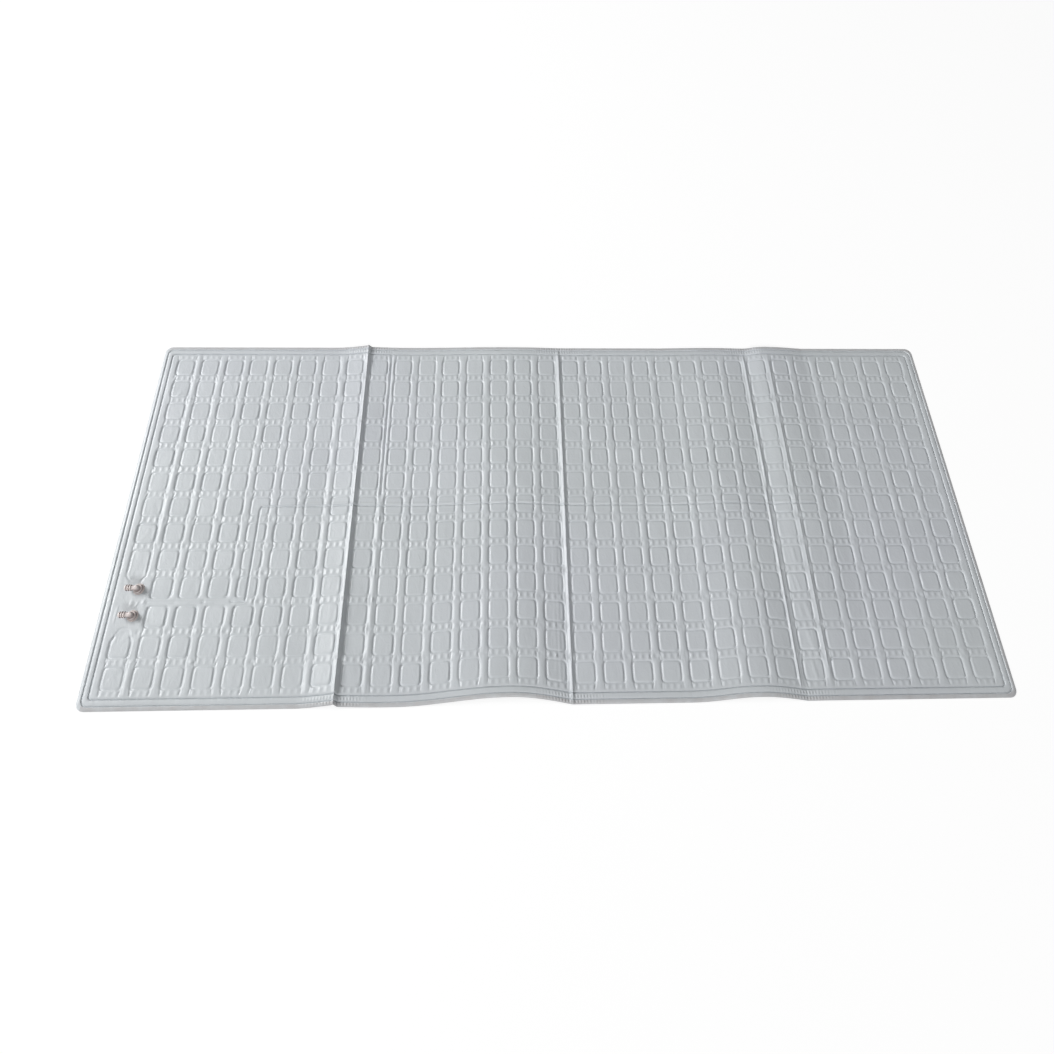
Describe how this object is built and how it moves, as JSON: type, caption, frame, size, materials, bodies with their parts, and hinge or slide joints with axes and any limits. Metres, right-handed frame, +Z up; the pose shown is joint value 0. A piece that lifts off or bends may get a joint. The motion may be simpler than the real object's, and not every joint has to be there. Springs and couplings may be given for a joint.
{
  "type": "water cooling mattress pad",
  "caption": "Thin folding water cooling mattress pad: embossed welded film panels with water channels and swivelling barbed hose elbows.",
  "frame": {"origin": "middle of the pad's length and width, on the surface that it rests on", "axes": "+X along the length, away from the hose elbows; +Y across the width, towards the edge that is the back one in the picture; +Z up"},
  "size_m": [1.6, 0.7, 0.0307],
  "materials": {
    "upper_vinyl": "satin pale grey PVC film, embossed",
    "lower_vinyl": "matt pale grey PVC film",
    "port_plastic": "milky moulded plastic with a faint pink cast",
    "ring_rubber": "black rubber"
  },
  "bodies": {
    "panel_1": {"upper_film_panel_1": "upper_vinyl", "lower_film_panel_1": "lower_vinyl", "outlet_flange": "port_plastic", "outlet_o_ring": "ring_rubber", "outlet_collar": "port_plastic", "inlet_flange": "port_plastic", "inlet_o_ring": "ring_rubber", "inlet_collar": "port_plastic"},
    "panel_2": {"upper_film_panel_2": "upper_vinyl", "lower_film_panel_2": "lower_vinyl"},
    "panel_3": {"upper_film_panel_3": "upper_vinyl", "lower_film_panel_3": "lower_vinyl"},
    "panel_4": {"upper_film_panel_4": "upper_vinyl", "lower_film_panel_4": "lower_vinyl"},
    "outlet_swivel": {"outlet_elbow": "port_plastic"},
    "inlet_swivel": {"inlet_elbow": "port_plastic"}
  },
  "joints": [
    {"name": "crease_1", "type": "hinge", "parent": "panel_1", "child": "panel_2", "pos_m": [-0.375, 0, 0.02244], "axis": [0, -1, 0], "range_deg": [0, 170]},
    {"name": "crease_2", "type": "hinge", "parent": "panel_2", "child": "panel_3", "pos_m": [0.025, 0, 0], "axis": [0, -1, 0], "range_deg": [-170, 0]},
    {"name": "crease_3", "type": "hinge", "parent": "panel_3", "child": "panel_4", "pos_m": [0.425, 0, 0.01189], "axis": [0, -1, 0], "range_deg": [0, 170]},
    {"name": "outlet_turn", "type": "hinge", "parent": "panel_1", "child": "outlet_swivel", "pos_m": [-0.74, -0.198, 0], "axis": [0, 0, 1], "range_deg": [-90, 90]},
    {"name": "inlet_turn", "type": "hinge", "parent": "panel_1", "child": "inlet_swivel", "pos_m": [-0.74, -0.152, 0], "axis": [0, 0, 1], "range_deg": [-90, 90]}
  ],
  "couplings": [
    {"joint": "crease_2", "follows": "crease_1", "ratio": -1},
    {"joint": "crease_3", "follows": "crease_1", "ratio": 1}
  ]
}
